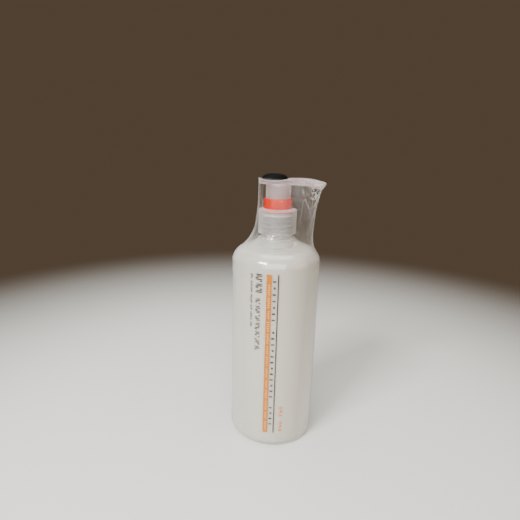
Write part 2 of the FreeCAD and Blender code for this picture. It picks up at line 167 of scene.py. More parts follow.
def see_through(tree, output, body, tint, spread, clearness, normal):
    """Joins a wall's own surface with light scattered through it and, least at a slant, straight sight.

    The polish lies over all of it: about 4 per cent of the light is mirrored face on, more at a slant.
    """
    scattered = add(tree, "ShaderNodeBsdfTranslucent", {"Color": colour(tint), "Normal": normal})
    wall = add(tree, "ShaderNodeMixShader", {0: spread, 1: body.outputs[0], 2: scattered.outputs[0]})
    slant = add(tree, "ShaderNodeLayerWeight", {"Blend": 0.5}).outputs["Facing"]
    sight = between(tree, slant, clearness, 0.0, 0.4, 1.0)
    straight = add(tree, "ShaderNodeBsdfTransparent", {"Color": colour(tint)})
    surface = add(tree, "ShaderNodeMixShader", {0: sight, 1: wall.outputs[0], 2: straight.outputs[0]})
    steep = add(tree, "ShaderNodeMath", {0: slant, 1: 5.0}, operation="POWER").outputs[0]
    polish = {"Color": colour("#FFFFFF"), "Roughness": 0.13, "Normal": normal}
    mirrored = add(tree, "ShaderNodeBsdfGlossy", polish)
    share = between(tree, steep, 0.04, 0.22)
    coated = add(tree, "ShaderNodeMixShader", {0: share, 1: surface.outputs[0], 2: mirrored.outputs[0]})
    tree.links.new(coated.outputs[0], output.inputs["Surface"])


def blown_bottle_plastic():
    """Natural high-density polyethylene, blow-moulded: milky, softly glossy, lets light through.

    The mould leaves a slow waviness of a few hundredths of a millimetre, 9 mm from crest to crest,
    and a fine satin grain of about 0.4 mm.
    """
    material, tree, output = blank("natural_blown_polyethylene")
    cloud = speckle(tree, 45.0, 2.0, (1, 1, 0.25))
    grain = speckle(tree, 2500.0, 1.0)
    normal = bump(tree, speckle(tree, 110.0, 1.0, (1, 1, 0.3)), 0.00006, 0.6)
    body = add(
        tree,
        "ShaderNodeBsdfPrincipled",
        {
            "Base Color": blend_colour(tree, cloud, "#EBEAE6", "#F5F4F1"),
            "Roughness": between(tree, grain, 0.11, 0.17),
            "IOR": 1.54,
            "Normal": normal,
        },
    )
    see_through(tree, output, body, "#F4F3EF", 0.42, 0.66, normal)
    return material


def moulded_polypropylene(name, first, second, clearness, roughness):
    """Natural polypropylene, injection-moulded: whitish and see-through where thin, with a clean gloss.

    Flow marks from the gate run round the part as faint bands 3 mm wide; the mould's polish
    leaves a grain of 0.3 mm.
    """
    material, tree, output = blank(name)
    flow = speckle(tree, 330.0, 2.0, (0.3, 0.3, 1.0))
    grain = speckle(tree, 3300.0, 1.0)
    normal = bump(tree, flow, 0.00002, 0.35)
    body = add(
        tree,
        "ShaderNodeBsdfPrincipled",
        {
            "Base Color": blend_colour(tree, flow, first, second),
            "Roughness": between(tree, grain, roughness - 0.04, roughness + 0.05),
            "IOR": 1.49,
            "Normal": normal,
        },
    )
    see_through(tree, output, body, second, 0.5, clearness, normal)
    return material


def orange_polypropylene():
    """Opaque orange polypropylene, injection-moulded: even colour, light gloss, faint pigment swirl."""
    material, tree, output = blank("orange_moulded_polypropylene")
    swirl = speckle(tree, 260.0, 3.0, (1, 1, 0.4))
    grain = speckle(tree, 3300.0, 1.0)
    shader = add(
        tree,
        "ShaderNodeBsdfPrincipled",
        {
            "Base Color": blend_colour(tree, swirl, "#C01E00", "#CA2A00"),
            "Roughness": between(tree, grain, 0.34, 0.46),
            "IOR": 1.49,
            "Specular IOR Level": 0.25,
            "Subsurface Weight": 0.15,
            "Subsurface Radius": (0.6, 0.25, 0.1),
            "Subsurface Scale": 0.001,
            "Normal": bump(tree, grain, 0.000012, 0.4),
        },
    )
    tree.links.new(shader.outputs[0], output.inputs["Surface"])
    return material


def oil_emulsion():
    """White massage emulsion: opaque, light sinks a few millimetres in; tiny bubbles by the wall."""
    material, tree, output = blank("white_oil_emulsion")
    cloud = speckle(tree, 30.0, 2.0)
    bubbles = speckle(tree, 900.0, 1.0)
    shader = add(
        tree,
        "ShaderNodeBsdfPrincipled",
        {
            "Base Color": blend_colour(tree, cloud, "#F4F0E5", "#FAF7EE"),
            "Roughness": 0.35,
            "IOR": 1.38,
            "Subsurface Weight": 0.3,
            "Subsurface Radius": (1.0, 0.9, 0.75),
            "Subsurface Scale": 0.002,
            "Normal": bump(tree, bubbles, 0.00003, 0.25),
        },
    )
    tree.links.new(shader.outputs[0], output.inputs["Surface"])
    return material


def shrink_film_clear(name, loose_from, tight_from, run, veil):
    """Clear heat-shrunk film: a faint milky veil face on, paler and glossy at a slant.

    loose_from and tight_from are pairs of heights in metres between which the film comes away from
    what it covers and clings to it again; run stretches its creases upwards, and those are 2 to
    6 mm apart. Where it is folded sharply, most of all below the spout's tip, it goes white in
    lines about 0.3 mm wide: partly the whitening of folded film, partly painted highlight that
    stands in for glints on the creases. In front of the pump the veil is a quarter as strong as beside
    it.
    Over the thumb pad, and at the join of wrap and tent, it is drawn tight and can hardly be seen.
    """
    material, tree, output = blank(name)
    place = add(tree, "ShaderNodeTexCoord").outputs["Object"]
    split = add(tree, "ShaderNodeSeparateXYZ", {0: place}).outputs
    rising = between(tree, split["Z"], 0.05, 1.0, *loose_from)
    falling = between(tree, split["Z"], 1.0, 0.05, *tight_from)
    loose = both(tree, rising, falling)
    over_pad = between(tree, split["Z"], 1.0, 0.0, *PAD_RIM)
    relief = both(tree, speckle(tree, 260.0, 3.0, (1, 1, run), 0.6), between(tree, loose, 0.15, 1.0))
    normal = bump(tree, relief, 0.0008, 0.7)
    facing = add(tree, "ShaderNodeLayerWeight", {"Blend": 0.5, "Normal": normal}).outputs["Facing"]
    slant = add(tree, "ShaderNodeMath", {0: facing, 1: 4.0}, operation="POWER").outputs[0]
    # White fold lines: partly the whitening of sharply folded film, partly painted highlight standing
    # in for glints on the creases.
    long_folds_and_glints = fold_and_glint_lines(tree, 75.0, 0.35, 0.010)
    patches = between(tree, speckle(tree, 120.0, 1.0, (1, 1, 0.6)), 0.0, 0.4, 0.54, 0.66)
    short_folds_and_glints = fold_and_glint_lines(tree, 210.0, 0.6, 0.030)
    below_tip = both(
        tree,
        between(tree, split["X"], 0.0, 0.65, *BELOW_TIP_X),
        between(tree, split["Z"], 0.0, 1.0, *BELOW_TIP_Z),
    )
    # The fold lines, with their painted highlight, are added to the milky veil here.
    folds_and_glints = add(tree, "ShaderNodeMath", {0: both(tree, long_folds_and_glints, patches)}, operation="ADD")
    tree.links.new(both(tree, short_folds_and_glints, below_tip), folds_and_glints.inputs[1])
    beside = add(tree, "ShaderNodeMath", {0: split["X"]}, operation="ABSOLUTE").outputs[0]
    veil_here = between(tree, beside, 0.25 * veil, veil, *PUMP_SIDE)
    mist = add(tree, "ShaderNodeMath", {0: between(tree, slant, 0.0, 0.42)}, operation="ADD")
    mist.use_clamp = True
    tree.links.new(folds_and_glints.outputs[0], mist.inputs[1])
    above_join = {0: split["Z"], 1: HOOD_FOOT * MM}
    off_join = add(tree, "ShaderNodeMath", above_join, operation="SUBTRACT").outputs[0]
    off_join = add(tree, "ShaderNodeMath", {0: off_join}, operation="ABSOLUTE").outputs[0]
    at_join = between(tree, off_join, 0.0, 1.0, *JOIN_FADE)
    veiled = add(tree, "ShaderNodeMath", {0: mist.outputs[0], 1: veil_here}, operation="ADD").outputs[0]
    misting = both(tree, both(tree, both(tree, veiled, loose), over_pad), at_join)
    shine = both(tree, both(tree, between(tree, slant, 0.008, 0.3), over_pad), at_join)
    clear = add(tree, "ShaderNodeBsdfTransparent", {"Color": colour("#FDFDFD")})
    polish = {"Color": colour("#FFFFFF"), "Roughness": 0.08, "Normal": normal}
    gloss = add(tree, "ShaderNodeBsdfGlossy", polish)
    lit = add(tree, "ShaderNodeBsdfDiffuse", {"Color": colour("#F4F3F1"), "Normal": normal})
    passed = add(tree, "ShaderNodeBsdfTranslucent", {"Color": colour("#F4F3F1")})
    milk = add(tree, "ShaderNodeMixShader", {0: 0.5, 1: lit.outputs[0], 2: passed.outputs[0]})
    misted = add(tree, "ShaderNodeMixShader", {0: misting, 1: clear.outputs[0], 2: milk.outputs[0]})
    film = add(tree, "ShaderNodeMixShader", {0: shine, 1: misted.outputs[0], 2: gloss.outputs[0]})
    tree.links.new(film.outputs[0], output.inputs["Surface"])
    return material


def soft_black_elastomer():
    """Black thermoplastic elastomer from a spark-eroded mould: matt, grain of about 0.5 mm."""
    material, tree, output = blank("black_elastomer")
    grain = speckle(tree, 2000.0, 2.0)
    wear = speckle(tree, 180.0, 2.0)
    shader = add(
        tree,
        "ShaderNodeBsdfPrincipled",
        {
            "Base Color": blend_colour(tree, wear, "#020203", "#060607"),
            "Roughness": between(tree, wear, 0.6, 0.75),
            "IOR": 1.5,
            "Specular IOR Level": 0.1,
            "Normal": bump(tree, grain, 0.00006, 0.7),
        },
    )
    tree.links.new(shader.outputs[0], output.inputs["Surface"])
    return material


def screen_ink(name, first, second):
    """Screen-printed ink: flat colour, a few hundredths of a millimetre thick, finely mottled."""
    material, tree, output = blank(name)
    mottle = speckle(tree, 1400.0, 2.0)
    shader = add(
        tree,
        "ShaderNodeBsdfPrincipled",
        {
            "Base Color": blend_colour(tree, mottle, first, second),
            "Roughness": between(tree, mottle, 0.38, 0.52),
            "IOR": 1.5,
            "Normal": bump(tree, mottle, 0.00001, 0.3),
        },
    )
    tree.links.new(shader.outputs[0], output.inputs["Surface"])
    return material


def spring_steel():
    """Drawn stainless wire: bright metal with die marks along the wire, drawn 0.4 mm apart to show."""
    material, tree, output = blank("drawn_stainless_steel")
    marks = speckle(tree, 2500.0, 1.0, (1, 1, 3))
    shader = add(
        tree,
        "ShaderNodeBsdfPrincipled",
        {
            "Base Color": colour("#C8C9CC"),
            "Metallic": 1.0,
            "Roughness": between(tree, marks, 0.2, 0.34),
            "Normal": bump(tree, marks, 0.00001, 0.3),
        },
    )
    tree.links.new(shader.outputs[0], output.inputs["Surface"])
    return material


def foam_gasket():
    """White polyethylene foam: matt, with closed cells of about 0.3 mm cut open on its edge."""
    material, tree, output = blank("polyethylene_foam")
    place = add(tree, "ShaderNodeTexCoord").outputs["Object"]
    cells = add(tree, "ShaderNodeTexVoronoi", {"Vector": place, "Scale": 3300.0}).outputs["Distance"]
    shader = add(
        tree,
        "ShaderNodeBsdfPrincipled",
        {
            "Base Color": blend_colour(tree, cells, "#F0F0EE", "#DADAD6"),
            "Roughness": 0.85,
            "Normal": bump(tree, cells, 0.0001, 0.6),
        },
    )
    tree.links.new(shader.outputs[0], output.inputs["Surface"])
    return material


def studio_floor():
    """Pale matt table top that fades into the tone of the room behind and around it."""
    material, tree, output = blank("studio_floor")
    place = add(tree, "ShaderNodeTexCoord").outputs["Object"]
    distance = add(tree, "ShaderNodeVectorMath", {0: place}, operation="LENGTH").outputs["Value"]
    reach = {0: distance, 1: FLOOR_EDGE[0], 2: FLOOR_EDGE[1]}
    away = add(tree, "ShaderNodeMapRange", reach, interpolation_type="SMOOTHSTEP")
    top = add(tree, "ShaderNodeBsdfPrincipled", {"Base Color": colour(FLOOR_COLOUR), "Roughness": 0.55})
    gone = add(tree, "ShaderNodeBsdfTransparent")
    fading = {0: away.outputs[0], 1: top.outputs[0], 2: gone.outputs[0]}
    surface = add(tree, "ShaderNodeMixShader", fading)
    tree.links.new(surface.outputs[0], output.inputs["Surface"])
    return material


# ---------------------------------------------------------------- mesh helpers


def outline(corners, per_arc=8, step=2.5):
    """Points along straight lines between corners, each (radius, height, rounding).

    A corner's rounding is the radius of an arc tangent to both of its lines; it is cut down where
    the lines are too short. Straight stretches are divided so that no step is longer than given.
    """
    at = np.array([c[:2] for c in corners], float)
    points = [at[0]]
    for i in range(1, len(at) - 1):
        back = at[i - 1] - at[i]
        ahead = at[i + 1] - at[i]
        reach = 0.49 * min(np.hypot(*back), np.hypot(*ahead))
        back = back / np.hypot(*back)
        ahead = ahead / np.hypot(*ahead)
        half = 0.5 * math.acos(float(np.clip(back @ ahead, -1, 1)))
        rounding = min(corners[i][2], reach * math.tan(half))
        if rounding <= 0 or half > 0.4999 * math.pi:
            points.append(at[i])
            continue
        cut = rounding / math.tan(half)
        inward = (back + ahead) / np.hypot(*(back + ahead))
        centre = at[i] + inward * rounding / math.sin(half)
        first = at[i] + back * cut - centre
        last = at[i] + ahead * cut - centre
        start = math.atan2(first[1], first[0])
        sweep = (math.atan2(last[1], last[0]) - start + math.pi) % TURN - math.pi
        angles = start + sweep * np.linspace(0, 1, per_arc + 1)
        points.extend(centre + rounding * np.stack([np.cos(angles), np.sin(angles)], 1))
    points.append(at[-1])
    points = np.array(points)
    gaps = np.hypot(*np.diff(points, axis=0).T)
    pieces = [
        a + (b - a) * np.linspace(0, 1, max(1, math.ceil(g / step)), endpoint=False)[:, None]
        for a, b, g in zip(points[:-1], points[1:], gaps)
    ]
    return np.concatenate(pieces + [points[-1:]])


def grid_faces(rows, columns, wrap_rows, wrap_columns, start=0):
    """Vertex numbers of the squares of a grid, which may close on itself along rows or columns."""
    i = np.arange(rows if wrap_rows else rows - 1)
    j = np.arange(columns if wrap_columns else columns - 1)
    i, j = np.meshgrid(i, j, indexing="ij")
    up = (i + 1) % rows
    along = (j + 1) % columns
    corners = [i * columns + j, i * columns + along, up * columns + along, up * columns + j]
    return np.stack(corners, -1).reshape(-1, 4) + start


def skin(name, grids, sharp=50.0):
    """One smooth-shaded object from grids of points in millimetres: (points, wrap_rows, wrap_columns).

    Doubled points at poles and seams are merged, and every closed skin is turned to face outwards
    by the sign of its volume.
    """
    vertices = []
    faces = []
    count = 0
    for points, wrap_rows, wrap_columns in grids:
        rows, columns = points.shape[:2]
        flat = points.reshape(-1, 3) * MM
        squares = grid_faces(rows, columns, wrap_rows, wrap_columns)
        a, b, c, d = (flat[squares[:, k]] for k in range(4))
        volume = np.einsum("ij,ij->i", a, np.cross(b, c) + np.cross(c, d)).sum()
        if volume < 0:
            squares = squares[:, ::-1]
        vertices.append(flat)
        faces.append(squares + count)
        count += len(flat)
    vertices = np.concatenate(vertices)
    faces = np.concatenate(faces)
    mesh = bpy.data.meshes.new(name)
    mesh.vertices.add(len(vertices))
    mesh.vertices.foreach_set("co", vertices.astype(np.float32).ravel())
    mesh.loops.add(faces.size)
    mesh.loops.foreach_set("vertex_index", faces.astype(np.int32).ravel())
    mesh.polygons.add(len(faces))
    mesh.polygons.foreach_set("loop_start", np.arange(0, faces.size, 4, dtype=np.int32))
    mesh.update(calc_edges=True)
    work = bmesh.new()
    work.from_mesh(mesh)
    bmesh.ops.remove_doubles(work, verts=work.verts, dist=1e-6)
    bmesh.ops.dissolve_degenerate(work, edges=work.edges, dist=1e-7)
    work.to_mesh(mesh)
    work.free()
    mesh.polygons.foreach_set("use_smooth", np.ones(len(mesh.polygons), bool))
    mesh.set_sharp_from_angle(angle=math.radians(sharp))
    piece = bpy.data.objects.new(name, mesh)
    bpy.context.scene.collection.objects.link(piece)
    return piece


def revolved(path, segments, shape=None, closed=False):
    """Grid of a path of (radius, height) points turned about Z.

    shape(radius, height, angle) may move each point: it returns a new radius and height.
    """
    angle = np.linspace(0, TURN, segments, endpoint=False)[None, :]
    radius = np.repeat(path[:, :1], segments, 1)
    height = np.repeat(path[:, 1:], segments, 1)
    if shape:
        radius, height = shape(radius, height, angle)
    return np.stack([radius * np.cos(angle), radius * np.sin(angle), height], -1), closed, True


def smooth_step(value, start, end):
    t = np.clip((value - start) / (end - start), 0, 1)
    return t * t * (3 - 2 * t)


def through(at, table):
    """Smooth curve through a table of (place, value): cubic pieces that share their end slopes."""
    places = np.array([row[0] for row in table], float)
    values = np.array([row[1] for row in table], float)
    slopes = np.gradient(values, places)
    k = np.clip(np.searchsorted(places, at) - 1, 0, len(places) - 2)
    width = places[k + 1] - places[k]
    t = np.clip((at - places[k]) / width, 0, 1)
    from_start = (2 * t**3 - 3 * t**2 + 1) * values[k] + (t**3 - 2 * t**2 + t) * width * slopes[k]
    return from_start + (3 * t**2 - 2 * t**3) * values[k + 1] + (t**3 - t**2) * width * slopes[k + 1]


def finish_piece(piece, material, body, slot, *nodes):
    """Gives a piece its material and the body it moves with, and hides the CAD nodes it stands for. The
    slot is not used.
    """
    piece.data.materials.append(material)
    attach(piece, body)
    if nodes:
        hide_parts(*nodes)
    return piece


def thread_height(height, angle, start, turns, root_width, crest_width):
    """How far a right-hand screw thread stands out, from 0 to 1, fading in and out over its ends.

    The distance from the nearest turn of the helix sets the flank; the turns are numbered from
    the start height.
    """
    phase = (height - start) / PITCH - angle / TURN
    number = np.clip(np.round(phase), 0, math.ceil(turns))
    off = np.abs(phase - number) * PITCH
    flank = np.clip((root_width / 2 - off) / ((root_width - crest_width) / 2), 0, 1)
    along = number + angle / TURN
    return flank * smooth_step(along, 0, 0.12) * (1 - smooth_step(along, turns - 0.12, turns))


# ---------------------------------------------------------------- the bottle and what it holds

SHOULDER_R = 13.9
SHOULDER_Z = 141.0
BASE_CORNER_R = 5.5
CONE_CORNER_Z = 150.4
PEDESTAL_R = 14.4
PEDESTAL_TOP = 160.3
NECK_R = 10.85
NECK_BORE_R = 8.9
BEAD_R = 11.05
BEAD_TOP = 164.2
THREAD_START = 167.0
THREAD_CREST_R = 11.95
WALL = 1.0


def make_bottle():
    """Turned outline of the bottle, outside then inside, with the neck's thread raised on it.

    The side wanders by a few hundredths of a millimetre, as a blown wall does, and a parting line
    stands up on the left and right of the spout's plane.
    """
    outside = [
        (0, 3.0, 0),
        (14, 2.6, 40),
        (23.5, 0, 3),
        (BODY_R, 0, 5.5),
        (BODY_R, CONE_CORNER_Z, SHOULDER_R),
        (18.6, 156.15, 3.2),
        (PEDESTAL_R, 159.2, 1.5),
        (PEDESTAL_R - 0.3, PEDESTAL_TOP, 0.7),
        (BEAD_R, PEDESTAL_TOP, 0.4),
        (BEAD_R, BEAD_TOP, 0.4),
        (NECK_R, BEAD_TOP + 0.8, 0.3),
    ]
    threaded = [(NECK_R, BEAD_TOP + 0.8 + 0.2 * k, 0) for k in range(1, 58)]
    inside = [
        (NECK_R, NECK_TOP, 0.5),
        (NECK_BORE_R, NECK_TOP, 0.4),
        (NECK_BORE_R, 160.0, 1.2),
        (13.2, 158.4, 2.0),
        (18.2, 155.1, 3.0),
        (BODY_R - WALL, 149.9, SHOULDER_R - WALL),
        (BODY_R - WALL, WALL, 4.5),
        (23.5, WALL, 3),
        (14, 3.6, 40),
        (0, 4.0, 0),
    ]

    def shape(radius, height, angle):
        on_neck = (np.abs(radius - NECK_R) < 0.02) & (height > BEAD_TOP + 0.8)
        on_neck = on_neck & (height < NECK_TOP - 0.6)
        rise = (THREAD_CREST_R - NECK_R) * thread_height(height, angle, THREAD_START, 2.5, 1.7, 0.8)
        on_side = (radius > BODY_R - 0.01) * smooth_step(height, 8, 25)
        on_side = on_side * (1 - smooth_step(height, 120, 138))
        wander = 0.05 * np.sin(2 * angle + height / 17) * np.sin(height / 23 + 1.0) - 0.05
        off_parting = np.abs((angle + TURN / 4) % (TURN / 2) - TURN / 4)
        parting = 0.05 * np.exp(-((off_parting / 0.006) ** 2))
        return radius + on_neck * rise + on_side * (wander + parting), height

    path = outline(outside + threaded + inside, per_arc=12, step=4.0)
    return skin("bottle_wall", [revolved(path, 288, shape)], sharp=40)


def make_cream():
    """Turned outline of the contents, with a well for the pump and tube, and a meniscus at the wall."""
    clear = WALL + 0.08
    r = BODY_R - clear
    bend = SHOULDER_R - clear
    pump_well_r = 7.4
    pump_well_foot = 128.0
    tube_well_r = 3.4
    tube_well_foot = 6.0
    centre_r = BODY_R - SHOULDER_R
    level_r = centre_r + math.sqrt(bend**2 - (FILL_LEVEL - SHOULDER_Z) ** 2)
    side = [
        (0, 4.1, 0),
        (14, 3.7, 40),
        (23.5, clear, 3),
        (r, clear, 4.4),
        (r, SHOULDER_Z, 0),
    ]
    angles = np.linspace(0, math.asin((FILL_LEVEL - SHOULDER_Z) / bend), 14)[1:]
    curve = [(centre_r + bend * math.cos(a), SHOULDER_Z + bend * math.sin(a), 0) for a in angles]
    surface = [
        (level_r - 1.2, FILL_LEVEL - 0.9, 1.2),
        (level_r - 6.0, FILL_LEVEL - 1.3, 5),
        (pump_well_r + 2.0, FILL_LEVEL - 1.3, 1.5),
        (pump_well_r, FILL_LEVEL - 0.6, 0.4),
        (pump_well_r, pump_well_foot, 0.5),
        (tube_well_r, pump_well_foot, 0.3),
        (tube_well_r, tube_well_foot, 0.5),
        (0, tube_well_foot, 0),
    ]
    path = outline(side + curve + surface, per_arc=8, step=6.0)
    return skin("cream_contents", [revolved(path, 160)], sharp=60)


# ---------------------------------------------------------------- closure, collar and works


def make_closure():
    """Turned outline of the cap's wall and plate, with its thread standing inwards from the bore.

    The plate falls by 1 mm from its hole to its rim.
    """
    bore_r = 12.35
    hole_r = 10.42
    plate = 1.8
    rim_drop = 1.0
    underside = CLOSURE_TOP - plate
    corners = [
        (bore_r, CLOSURE_FOOT + 0.6, 0),
        (bore_r + 0.3, CLOSURE_FOOT, 0.3),
        (CLOSURE_R, CLOSURE_FOOT, 0.35),
        (CLOSURE_R, CLOSURE_TOP - rim_drop, 0.35),
        (hole_r + 0.3, CLOSURE_TOP, 0.4),
        (hole_r, CLOSURE_TOP - 0.1, 0.05),
        (hole_r, underside, 0.2),
        (bore_r, underside, 0.4),
    ]
    threaded = [(bore_r, underside - 1.0 - 0.2 * k, 0) for k in range(73)]

    def shape(radius, height, angle):
        on_bore = np.abs(radius - bore_r) < 0.02
        inside = on_bore & (height < underside - 0.9) & (height > CLOSURE_FOOT + 0.7)
        start = THREAD_START - PITCH / 2
        return radius - inside * 1.1 * thread_height(height, angle, start, 2.4, 1.3, 0.7), height

    path = outline(corners + threaded, per_arc=6, step=2.0)
    return skin("closure_cap", [revolved(path, 256, shape, closed=True)], sharp=40)


def make_collar():
    """Turned outline of the collar: a thin-walled cup with a flange and a spigot round the stem."""
    hole_r = 3.06
    spigot_r = 5.76
    spigot_foot = 173.2
    flange_under = 179.2
    floor = 180.2
    cup_r = 10.36
    cup_bore_r = 9.45
    corners = [
        (hole_r, floor - 3, 0),
        (hole_r, spigot_foot, 0.2),
        (spigot_r, spigot_foot, 0.3),
        (spigot_r, flange_under, 0.1),
        (FLANGE_R, flange_under + 0.03, 0.2),
        (FLANGE_R, floor, 0.2),
        (cup_r, floor, 0.15),
        (cup_r, COLLAR_TOP, 0.4),
        (cup_bore_r, COLLAR_TOP, 0.3),
        (cup_bore_r, floor, 0.2),
        (hole_r, floor, 0.2),
        (hole_r, floor - 3, 0),
    ]
    path = outline(corners, per_arc=6, step=2.0)
    return skin("orange_collar", [revolved(path[:-1], 192, closed=True)], sharp=40)


def coil(name, mean_r, wire_r, low, high, turns):
    """Round wire along a helix whose first and last turns lie flat.

    The height follows the turn number through a smooth step at both ends, so the end coils close
    up as on a ground spring. A circle of the wire's radius is carried along, square to the path.
    """
    t = np.linspace(0, 1, 360)
    angle = TURN * turns * t
    dead = 0.9 / turns
    rise = np.clip((t - dead) / (1 - 2 * dead), 0, 1)
    flat_share = 2 * wire_r / (high - low)
    height = low + wire_r + (high - low - 2 * wire_r) * (
        flat_share * np.clip(t / dead, 0, 1)
        + (1 - 2 * flat_share) * rise
        + flat_share * np.clip((t - 1 + dead) / dead, 0, 1)
    )
    path = np.stack([mean_r * np.cos(angle), mean_r * np.sin(angle), height], 1)
    along = np.gradient(path, axis=0)
    along /= np.linalg.norm(along, axis=1, keepdims=True)
    outward = np.stack([np.cos(angle), np.sin(angle), 0 * angle], 1)
    across = np.cross(along, outward)
    turn = np.linspace(0, TURN, 16, endpoint=False)[None, :, None]
    ends = np.concatenate([[0], np.arange(len(t)), [len(t) - 1]])
    size = np.concatenate([[0], np.ones(len(t)), [0]])
    circle = outward[ends, None] * np.cos(turn) + across[ends, None] * np.sin(turn)
    points = path[ends, None] + circle * (wire_r * size)[:, None, None]
    return skin(name, [(points, False, True)], sharp=60)


# ---------------------------------------------------------------- the actuator head

HEAD_UNDERSIDE = 199.5
SKIRT_R = 9.12
RIM_TOP = [(-14.2, 203.2), (-12, 203.1), (-8, 203.0), (-3.5, 202.9), (2, 203.05)]
SPOUT_TOP = [(7.5, 203.6), (11, 203.85), (15, 203.88), (18, 203.75)]
SPOUT_TOP += [(23, 202.95), (28.8, 201.8), (33.6, 200.3)]
REAR_UNDER = [(-14.2, 199.8), (-12, 199.6), (0, 199.55), (5, 199.3)]
SPOUT_UNDER = [(12, 198.95), (18, 198.7), (25, 197.75), (30, 196.5)]
THUMB_REST_SQUARENESS = 4.2
SPOUT_SQUARENESS = 3.0


def head_half_width(x):
    """Half width of the head seen from above: a superellipse at the rear, a taper along the spout."""
    widths = [(-3, 8.6), (3, 8.3), (8, 7.1), (13, 5.5), (18, 4.75), (26, 4.3), (35, 3.9)]
    front = through(np.maximum(x, -3), widths)
    reach = (-3 - np.minimum(x, -3)) / (-3 - HEAD_REAR + 0.02)
    return front * (1 - np.clip(reach, 0, 1) ** 2.5) ** (1 / 2.5)


def make_head():
    """Rounded boxes across the head, stacked from the rear lip to the spout's tip and into its bore.

    Each cross-section is a superellipse between the rim's height and the underside, as wide as the
    head is there. The sections lean forward towards the tip, so that the tip is cut at a slant, and
    the top is dished across between the rims. The skirt and the boss are turned parts.
    """
    rear = HEAD_REAR + (-3 - HEAD_REAR) * (1 - np.cos(np.linspace(0, math.pi / 2, 26)))
    spout = np.linspace(-3, SPOUT_TIP - 2.0, 62)[1:]
    x = np.concatenate([rear, spout])
    lean = 0.88 * smooth_step(x, 17, SPOUT_TIP - 2)
    top = through(x, RIM_TOP + SPOUT_TOP)
    low = through(x, REAR_UNDER + SPOUT_UNDER)
    half = np.maximum(head_half_width(x), 0.25)
    middle = 0.5 * (top + low)
    tall = 0.5 * (top - low)
    square = THUMB_REST_SQUARENESS + (SPOUT_SQUARENESS - THUMB_REST_SQUARENESS) * smooth_step(x, 2, 14)
    inward = np.array([0.12, 0.2, 0.2, -0.2, -5.0, -5.0])
    lip_share = np.array([0.96, 0.82, 0.0, 0.0, 0.0, 0.0])
    bore = np.array([0.0, 0.0, 1.25, 1.25, 1.25, 0.0])
    ring = np.full(6, 1.0)
    x = np.concatenate([x[:1], x, x[-1] + inward])
    lean = np.concatenate([lean[:1], lean, 0.88 * ring])
    middle = np.concatenate([middle[:1], middle, middle[-1] * ring])
    tall = np.concatenate([[0.0], tall, tall[-1] * lip_share + bore])
    half = np.concatenate([[0.0], half, half[-1] * lip_share + bore])
    square = np.concatenate([square[:1], square, [3.0, 2.6, 2.0, 2.0, 2.0, 2.0]])[:, None]
    angle = np.linspace(0, TURN, 72, endpoint=False)[None, :]
    c, s = np.cos(angle), np.sin(angle)
    across = half[:, None] * np.sign(c) * np.abs(c) ** (2 / square)
    upward = tall[:, None] * np.sign(s) * np.abs(s) ** (2 / square)
    hollow = 0.5 * smooth_step(x, -13.0, -9) * (1 - smooth_step(x, 2, 9))
    dish = hollow[:, None] * (1 - (across / np.maximum(half[:, None], 0.3)) ** 2) * (s > 0)
    along = x[:, None] + lean[:, None] * upward
    points = np.stack([along, across, middle[:, None] + upward - dish], -1)
    skirt = outline(
        [
            (SKIRT_R - 0.95, 199.2, 0),
            (SKIRT_R - 0.95, SKIRT_FOOT, 0.25),
            (SKIRT_R, SKIRT_FOOT, 0.3),
            (SKIRT_R, HEAD_UNDERSIDE - 0.1, 0.0),
            (SKIRT_R - 0.3, HEAD_UNDERSIDE + 0.3, 0),
            (SKIRT_R - 0.95, HEAD_UNDERSIDE + 0.8, 0),
        ],
        per_arc=5,
        step=2.0,
    )
    boss = outline(
        [(3.03, 197.6, 0), (3.03, 189.2, 0.3), (4.6, 189.2, 0.4), (4.6, 199.2, 0), (3.03, 199.2, 0)],
        per_arc=5,
        step=2.0,
    )
    return skin(
        "pump_head",
        [(points, False, True), revolved(skirt, 160, closed=True), revolved(boss, 96, closed=True)],
        sharp=45,
    )


def make_pad():
    """Oval cushion: a turned unit outline stretched to the pad's length and width.

    The top is a superellipse arc, flat in the middle and steep at the edge, over an upright side.
    """
    low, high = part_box("thumb_pad")
    centre = 0.5 * (low.x + high.x) / MM
    long_r = 0.5 * (high.x - low.x) / MM - 0.05
    wide_r = 0.5 * (high.y - low.y) / MM - 0.05
    rim, top = 202.6, high.z / MM - 0.02
    t = np.linspace(0, math.pi / 2, 26)
    reach = np.cos(t) ** (2 / 2.6)
    dome = np.stack([reach, rim + (top - rim) * np.sin(t) ** (2 / 2.3)], 1)
    under = np.array([(0.0, low.z / MM + 0.05), (0.9, low.z / MM + 0.05), (0.98, low.z / MM + 0.3)])
    grid, _, _ = revolved(np.concatenate([under, dome]), 96)
    grid = grid * np.array([long_r, wide_r, 1.0]) + np.array([centre, 0, 0])
    return skin("black_thumb_pad", [(grid, False, True)], sharp=60)


# ---------------------------------------------------------------- shrink film

FILM = 0.08
SEAM_ANGLE = TURN * 0.75 - 0.06


